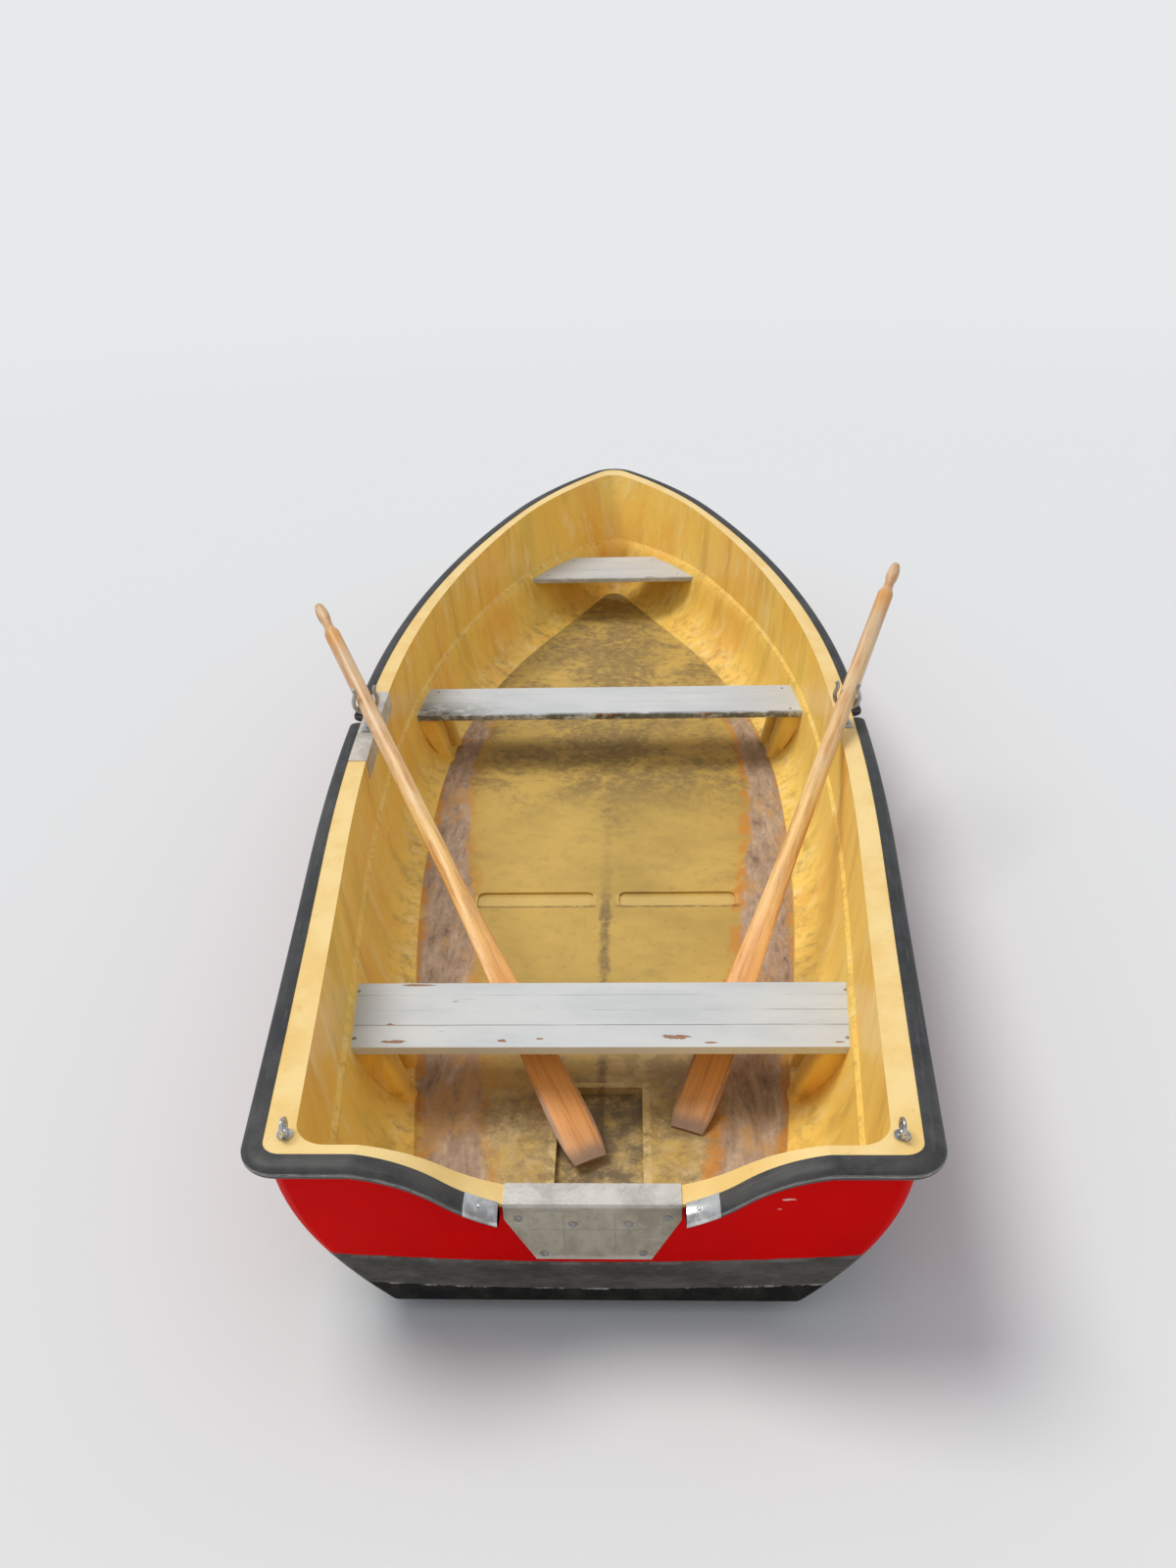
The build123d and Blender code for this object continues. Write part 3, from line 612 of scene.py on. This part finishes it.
def plate_material():
    """Dull aluminium sheet: pale on top, stained brown and grey behind, pressed by a motor's clamp."""
    g = Graph("dull_aluminium")
    x, y, z = g.split(g.place)
    cloud = g.noise(11.0, 7.0, 0.75, twist=0.5)
    back = g.soft(z, 0.338, 0.330)
    colour = g.mix(g.soft(cloud, 0.38, 0.66), (0.66, 0.63, 0.58), (0.46, 0.43, 0.385))
    run = g.patch(8.0, 7.0, 0.75, 0.36, 0.64, stretch=(1.0, 1.0, 0.6))
    colour = g.lay(colour, g.mix(run, (0.46, 0.41, 0.315), (0.27, 0.225, 0.145)), back, 0.85)
    smear = g.noise(22.0, 6.0, 0.78, stretch=(0.5, 1.0, 1.0))
    colour = g.lay(colour, (0.20, 0.195, 0.19), g.soft(smear, 0.56, 0.70), 0.55)
    press = g.soft(g.math("ABSOLUTE", g.less(z, 0.272)), 0.0024, 0.0006)
    shaken = g.add(x, g.times(g.less(smear, 0.5), 0.006))
    for place in (-0.052, 0.040):
        press = g.most(press, g.soft(g.math("ABSOLUTE", g.less(shaken, place)), 0.0028, 0.0008))
    clamp = g.times(g.between(z, 0.215, 0.315, 0.01), g.between(x, -0.11, 0.10, 0.01))
    press = g.times(g.times(press, back), clamp)
    colour = g.lay(colour, (0.12, 0.10, 0.08), press, 0.22)
    spots = g.patch(60.0, 5.0, 0.8, 0.60, 0.70)
    colour = g.lay(colour, (0.19, 0.165, 0.135), spots, 0.5)
    lines = g.noise(50.0, 6.0, 0.85, stretch=(0.25, 1.0, 1.0), twist=1.5)
    colour = g.lay(colour, (0.78, 0.76, 0.72), g.soft(lines, 0.60, 0.68), 0.5)
    rim = g.soft(g.add(z, g.times(g.less(cloud, 0.5), 0.02)), 0.200, 0.188)
    colour = g.lay(colour, (0.72, 0.69, 0.63), rim, 0.45)
    g.bump(g.add(cloud, g.add(lines, spots)), 0.3, 0.0008)
    return g.finish(colour, g.add(0.45, g.times(cloud, 0.2)), metal=0.3)


def floor_material():
    """Plain pale floor that runs out into the backdrop."""
    g = Graph("floor")
    x, y, _ = g.split(g.place)
    far = g.math("SQRT", g.add(g.times(x, x), g.times(y, y)))
    glow = g.tree.nodes.new("ShaderNodeEmission")
    glow.inputs["Color"].default_value = (*PALE, 1.0)
    mix = g.tree.nodes.new("ShaderNodeMixShader")
    g.put(mix.inputs[0], g.soft(far, 5.0, 14.0))
    g.tree.links.new(g.shader.outputs[0], mix.inputs[1])
    g.tree.links.new(glow.outputs[0], mix.inputs[2])
    g.tree.links.new(mix.outputs[0], g.output.inputs[0])
    return g.finish((0.735, 0.745, 0.755), 0.9, specular=0.2)


# Meshes

def add_mesh(name, points, faces, material, uvs=None, smooth=True):
    """A mesh piece from points in metres, with edges over 40 degrees kept sharp."""
    mesh = bpy.data.meshes.new(name)
    mesh.from_pydata([tuple(p) for p in points], [], faces)
    mesh.validate()
    if uvs is not None:
        layer = mesh.uv_layers.new(name="uv")
        for loop in mesh.loops:
            layer.data[loop.index].uv = uvs[loop.vertex_index]
    if smooth:
        mesh.shade_smooth()
        mesh.set_sharp_from_angle(angle=math.radians(40))
    mesh.materials.append(material)
    piece = bpy.data.objects.new(name, mesh)
    scene.collection.objects.link(piece)
    return piece


def add_floor():
    """A wide round floor at the waterline."""
    count, size = 96, 60.0
    points = [(0.0, 0.0, 0.0)]
    for i in range(count):
        angle = i * math.tau / count
        points.append((size * math.cos(angle), size * math.sin(angle), 0.0))
    faces = [(0, 1 + i, 1 + (i + 1) % count) for i in range(count)]
    add_mesh("floor", points, faces, floor_material(), smooth=False)


def bend(start, tangent, end, steps):
    """Points of the arc that leaves start along a tangent and reaches end, and its last tangent."""
    chord = end - start
    normal = Vector((-tangent.y, tangent.x))
    radius = chord.length_squared / (2 * chord.dot(normal))
    centre = start + normal * radius
    first = math.atan2(start.y - centre.y, start.x - centre.x)
    last = math.atan2(end.y - centre.y, end.x - centre.x)
    sweep = (last - first) % math.tau if radius > 0 else -((first - last) % math.tau)
    points = []
    for i in range(steps + 1):
        angle = first + sweep * i / steps
        points.append(centre + abs(radius) * Vector((math.cos(angle), math.sin(angle))))
    cos, sin = math.cos(sweep), math.sin(sweep)
    return points, Vector((tangent.x * cos - tangent.y * sin, tangent.x * sin + tangent.y * cos))


def half_rim(offset):
    """Starboard half of the rim's plan outline, from the nose to the middle of the transom."""
    aft = -offset * math.sqrt(1 + RAKE**2)
    half_aft, half_max = RIM["half_aft"] + offset, RIM["half_max"] + offset
    half_fore, stem = RIM["half_fore"] + offset, RIM["stem"] + offset
    nose, corner_radius = RIM["nose"] + offset, RIM["corner"] + offset
    turn = 1 + 2 * (STRAIGHT - aft) / (WIDEST - STRAIGHT)
    half_run = half_max - (half_max - half_aft) / turn
    widest = Vector((half_max, WIDEST - AMIDSHIPS))
    run = Vector((half_run, STRAIGHT - AMIDSHIPS))
    fore = Vector((half_fore, stem - FORE_RUN - AMIDSHIPS))
    nose_start = Vector((nose, stem - 0.45 * nose - AMIDSHIPS))
    corner = Vector((half_aft, aft - AMIDSHIPS))
    bow, direction = bend(widest, Vector((0, 1)), fore, 60)
    stem_points, direction = bend(fore, direction, nose_start, 24)
    nose_points, _ = bend(nose_start, direction, Vector((-nose, nose_start.y)), 24)
    side, _ = bend(widest, Vector((0, -1)), run, 50)
    up = (run - corner).normalized()
    back = Vector((-1, 0))
    angle = up.angle(back)
    reach = corner_radius / math.tan(angle / 2)
    straight = [run.lerp(corner + up * reach, i / 40) for i in range(41)]
    rounded, _ = bend(corner + up * reach, -up, corner + back * reach, 20)
    rest = [Vector(((corner + back * reach).x * (1 - i / 60), corner.y)) for i in range(61)]
    outline = []
    for stretch in (nose_points[12::-1], stem_points[::-1], bow[::-1], side, straight, rounded):
        outline += stretch[:-1]
    return outline + rest


def sheer_height(y):
    """Height of the rim's top at a place along the boat."""
    (x1, y1), (x2, y2), (x3, y3) = [(station - AMIDSHIPS, height) for station, height in SHEER]
    a, b = 2 * (x2 - x1), 2 * (y2 - y1)
    c = x2**2 - x1**2 + y2**2 - y1**2
    d, e = 2 * (x3 - x1), 2 * (y3 - y1)
    f = x3**2 - x1**2 + y3**2 - y1**2
    cx, cy = (c * e - f * b) / (a * e - d * b), (a * f - d * c) / (a * e - d * b)
    return cy - math.sqrt((x1 - cx) ** 2 + (y1 - cy) ** 2 - (y - cx) ** 2)


def arc_height(x, start, slope, end):
    """Height at x on the arc that leaves start at a slope and reaches end, and the arc's slope there."""
    chord = math.atan2(end[1] - start[1], end[0] - start[0])
    length = math.hypot(end[0] - start[0], end[1] - start[1])
    radius = length / (2 * math.sin(chord - slope))
    turned = math.asin((x - start[0]) / radius + math.sin(slope))
    return start[1] + radius * (math.cos(slope) - math.cos(turned)), turned


def dip_height(x):
    """Height of the dip in the transom's top edge: a flat, an arc up from it and one that turns level."""
    x = abs(x)
    start, turn, end = (DIP["flat"], TRANSOM), DIP["turn"], DIP["end"]
    slope = math.radians(DIP["slope"])
    if x <= start[0]:
        return TRANSOM
    if x <= turn[0]:
        return arc_height(x, start, slope, turn)[0]
    if x <= end[0]:
        return arc_height(x, turn, arc_height(turn[0], start, slope, turn)[1], end)[0]
    return 1e4


def rim_top(x, y):
    """Height of the rim's top: the sheer, or the dip where it cuts lower."""
    top = sheer_height(y)
    if y < DIP["reach"] - AMIDSHIPS:
        top = min(top, dip_height(x))
    return top


def on_rim(plan, lift):
    """A point over a plan point, raked as the transom is."""
    y = plan.y
    for _ in range(3):
        height = rim_top(plan.x, y) + lift
        y = plan.y - RAKE * (height - TRANSOM)
    return Vector((plan.x, y, height)) * MM


def d_profile(count, grow=0.0, power=2.5):
    """Share across the fender and height over the rim, from the top inside round to the bottom inside."""
    width, height = FENDER["width"], FENDER["height"]
    profile = []
    for i in range(count + 1):
        angle = math.pi / 2 - math.pi * i / count
        across = abs(math.cos(angle)) ** (2 / power) * (width + grow)
        lift = math.copysign(abs(math.sin(angle)) ** (2 / power), math.sin(angle)) * (height / 2 + grow)
        profile.append((max(across, 0.4) / width, FENDER["above"] - height / 2 + lift))
    return profile


def band_mesh(name, picks, profile, material):
    """A moulding along a stretch of the rim."""
    points, uvs, faces = [], [], []
    length, before = 0.0, None
    count = len(profile)
    for inner, outer in picks:
        middle = on_rim(outer, 0.0)
        if before is not None:
            length += (middle - before).length
        before = middle
        for i, (share, lift) in enumerate(profile):
            points.append(on_rim(inner + (outer - inner) * share, lift))
            uvs.append((length, i / (count - 1)))
    for k in range(len(picks) - 1):
        for i in range(count - 1):
            a = k * count + i
            faces.append((a, a + 1, a + count + 1, a + count))
        a = k * count
        faces.append((a, a + count, a + 2 * count - 1, a + count - 1))
    faces.append(tuple(range(count))[::-1])
    faces.append(tuple(range((len(picks) - 1) * count, len(picks) * count)))
    return add_mesh(name, points, faces, material, uvs)


def add_fender(material):
    """The fender in three lengths round the rim, and the pairs of points along its after part."""
    inner, outer = half_rim(0.0), half_rim(FENDER["width"])
    pairs = list(zip(inner, outer))
    profile = d_profile(18)

    def flip(pair, side):
        return tuple(Vector((side * p.x, p.y)) for p in pair)

    def cut(pairs, test, place):
        """The pairs that pass a test, closed with one more pair at the exact cut."""
        kept = [i for i, pair in enumerate(pairs) if test(pair[0])]
        first, last = kept[0], kept[-1]
        out = [pairs[i] for i in range(first, last + 1)]
        if first > 0:
            out.insert(0, place(pairs[first - 1], pairs[first]))
        if last < len(pairs) - 1:
            out.append(place(pairs[last], pairs[last + 1]))
        return out

    def at_y(level):
        def place(one, two):
            return tuple(a.lerp(b, (level - a.y) / (b.y - a.y)) for a, b in zip(one, two))
        return place

    def at_x(level):
        def place(one, two):
            return tuple(a.lerp(b, (level - a.x) / (b.x - a.x)) for a, b in zip(one, two))
        return place

    gap_low, gap_high = GAP[0] - AMIDSHIPS, GAP[1] - AMIDSHIPS
    fore = cut(pairs, lambda p: p.y >= gap_high, at_y(gap_high))
    pieces = []
    ring = [flip(pair, -1) for pair in reversed(fore)][:-1] + fore
    pieces.append(band_mesh("fender_fore", ring, profile, material))
    aft = [pair for pair in pairs if pair[0].y < gap_low]
    start = next(i for i, pair in enumerate(pairs) if pair[0].y < gap_low)
    aft.insert(0, at_y(gap_low)(pairs[start - 1], pairs[start]))
    stop = next(i for i, pair in enumerate(aft) if i > 40 and pair[0].x < CAP[0])
    aft = aft[:stop] + [at_x(CAP[0])(aft[stop - 1], aft[stop])]
    for side, word in ((-1, "port"), (1, "starboard")):
        picks = [flip(pair, side) for pair in aft]
        if side < 0:
            picks.reverse()
        pieces.append(band_mesh(f"fender_{word}", picks, profile, material))
    for piece in pieces:
        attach(piece, "hull")
        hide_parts("fender")
    return aft


def lathe(name, profile, material, cross):
    """A turned piece: profile of radius and height in millimetres, with a cross recess of a depth."""
    segments = 24
    points, faces = [], []
    for radius, height in profile:
        for k in range(segments):
            angle = k * math.tau / segments
            sunk = cross if radius < 0.62 * profile[0][0] and k % (segments // 4) == 0 else 0.0
            points.append(Vector((radius * math.cos(angle), radius * math.sin(angle), height - sunk)) * MM)
    for row in range(len(profile) - 1):
        for k in range(segments):
            a, b = row * segments + k, row * segments + (k + 1) % segments
            faces.append((a, b, b + segments, a + segments))
    top = len(points)
    points.append(Vector((0.0, 0.0, profile[-1][1] - cross)) * MM)
    last = (len(profile) - 1) * segments
    faces += [(last + k, last + (k + 1) % segments, top) for k in range(segments)]
    faces.append(tuple(range(segments))[::-1])
    return add_mesh(name, points, faces, material)


def add_screw(name, place, normal, radius, height, material, washer=0.0):
    """A domed head with a cross recess on a surface, over a washer if it has one."""
    base = 0.9 if washer else 0.0
    profile = [(washer, 0.0), (washer, 0.8), (radius * 1.02, 1.0)] if washer else []
    profile += [(radius * math.cos(a), base + height * math.sin(a)) for a in (0.0, 0.35, 0.7, 1.05, 1.3)]
    piece = lathe(name, profile, material, 0.6)
    turn = Vector(normal).to_track_quat("Z", "Y").to_matrix().to_4x4()
    piece.data.transform(Matrix.Translation(place) @ turn)
    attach(piece, "hull")


def board_half(name, y):
    """Half length of a seat board at a place along the boat."""
    near = [abs(v.co.x) for v in nodes[name].data.vertices if abs(v.co.y - y) < 0.15]
    rows = sorted((v.co.y, abs(v.co.x)) for v in nodes[name].data.vertices if abs(v.co.x) > 0.8 * max(near))
    (y0, x0), (y1, x1) = rows[0], rows[-1]
    return x0 + (x1 - x0) * (y - y0) / (y1 - y0)


def dress(name, material):
    """Gives a node one material."""
    node = nodes[name]
    node.data.materials.clear()
    node.data.materials.append(material)


def round_edges(name, width):
    """Softens a board's edges."""
    weld = nodes[name].modifiers.new("weld", "WELD")
    weld.merge_threshold = 1e-5
    bevel = nodes[name].modifiers.new("bevel", "BEVEL")
    bevel.width = width
    bevel.segments = 3
    bevel.limit_method = "ANGLE"
    bevel.angle_limit = math.radians(50)
    bevel.harden_normals = False


add_camera()
add_light()
add_floor()

rubber = rubber_material()
steel = metal_material("polished_steel", (0.82, 0.82, 0.81), (0.34, 0.33, 0.32), 0.10, 1.0, 22.0, 0.5)
galvanised = metal_material("galvanised", (0.56, 0.57, 0.58), (0.36, 0.36, 0.36), 0.38, 0.8, 30.0)
dull_screw = metal_material("dull_screw", (0.40, 0.39, 0.37), (0.22, 0.20, 0.18), 0.42, 0.8, 60.0)
aluminium = plate_material()
dress("inner_liner", liner_material())
dress("hull_shell", hull_material())
dress("transom_plate", aluminium)
dress("gunwale_sheet", aluminium)
for name in ("stern_eye_port", "stern_eye_starboard", "bow_eye"):
    dress(name, steel)
for name in ("rowlock_port", "rowlock_starboard", "rowlock_socket_port", "rowlock_socket_starboard"):
    dress(name, galvanised)

# Seats: chips by place and half size in metres; long cracks by share of the depth, weight and seed; mildew
SEATS = {
    "aft_seat": (
        (
            (-0.455, -1.661, 0.040, 0.007),
            (-0.215, -1.658, 0.016, 0.007),
            (-0.130, -1.652, 0.012, 0.004),
            (0.165, -1.646, 0.046, 0.012),
            (0.245, -1.665, 0.022, 0.004),
            (-0.430, -1.460, 0.050, 0.006),
            (-0.470, -1.602, 0.022, 0.006),
            (0.520, -1.664, 0.016, 0.004),
        ),
        ((0.33, 0.75, 1.7), (0.56, 0.55, 5.3), (0.80, 0.35, 9.1)),
        0.0,
    ),
    "mid_seat": (
        (
            (0.000, 0.044, 0.120, 0.006),
            (0.330, 0.043, 0.060, 0.004),
            (-0.560, 0.060, 0.020, 0.012),
            (0.560, 0.046, 0.030, 0.005),
        ),
        ((0.45, 0.30, 3.3), (0.75, 0.25, 7.7)),
        1.0,
    ),
    "bow_seat": (
        (
            (-0.20, 1.490, 0.030, 0.007),
            (0.16, 1.489, 0.040, 0.006),
        ),
        ((0.40, 0.5, 2.1), (0.70, 0.4, 6.4)),
        0.4,
    ),
}
for name, (chips, cracks, mildew) in SEATS.items():
    low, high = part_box(name)
    dress(name, seat_material(name, low, high, chips, cracks, mildew))
    round_edges(name, 0.003)

# Oars: where each blade's tip lies, in metres
OAR_LENGTH = 2.065
for word, tip in (("port", (-0.018, -1.824, 0.067)), ("starboard", (0.189, -1.734, 0.067))):
    axis = Vector(joints[f"{word}_oar_slide"]["axis"]).normalized()
    dress(f"oar_{word}", wood_material(word, tip, axis, OAR_LENGTH))

aft = add_fender(rubber)
for side, word in ((-1, "port"), (1, "starboard")):
    inner = [pair for pair in aft if pair[0].x <= CAP[1] and pair[0].y < 300 - AMIDSHIPS]
    picks = [tuple(Vector((side * p.x, p.y)) for p in pair) for pair in inner]
    if side < 0:
        picks.reverse()
    cap = band_mesh(f"cap_{word}", picks, d_profile(18, 2.0, 2.0), steel)
    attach(cap, "hull")
    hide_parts(f"fender_cap_{word}")
    crown = on_rim((picks[len(picks) // 2][0] + picks[len(picks) // 2][1]) / 2, FENDER["above"])
    add_screw(f"cap_screw_{word}", crown, (-0.3 * side, -0.1, 1.0), 4.0, 1.6, steel)

# Seat screws near each corner, by seat and distance in metres from the ends and from the edges
SEAT_TOP = 0.255
SEAT_SCREWS = (("aft_seat", 0.026, 0.030), ("mid_seat", 0.040, 0.030), ("bow_seat", 0.060, 0.050))
for name, inset, edge in SEAT_SCREWS:
    low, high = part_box(name)
    for k, (sx, sy) in enumerate(((-1, -1), (1, -1), (-1, 1), (1, 1))):
        y = low.y + edge if sy < 0 else high.y - edge
        place = Vector((sx * (board_half(name, y) - inset), y, SEAT_TOP))
        add_screw(f"screw_{name}_{k}", place, (0, 0, 1), 5.0, 1.6, dull_screw)

# Bolts through the transom plate, by place across and height in metres, and the plate's outer face at the dip
PLATE_BOLTS = (
    (-0.035, 0.287), (0.065, 0.288),
    (-0.132, 0.303), (0.133, 0.305),
    (-0.090, 0.200), (0.090, 0.202),
)
PLATE_FACE = -2.2031
for k, (x, z) in enumerate(PLATE_BOLTS):
    y = PLATE_FACE - RAKE * (z - TRANSOM * MM)
    add_screw(f"bolt_plate_{k}", Vector((x, y, z)), (0, -1, -RAKE), 5.0, 2.0, dull_screw, washer=8.0)
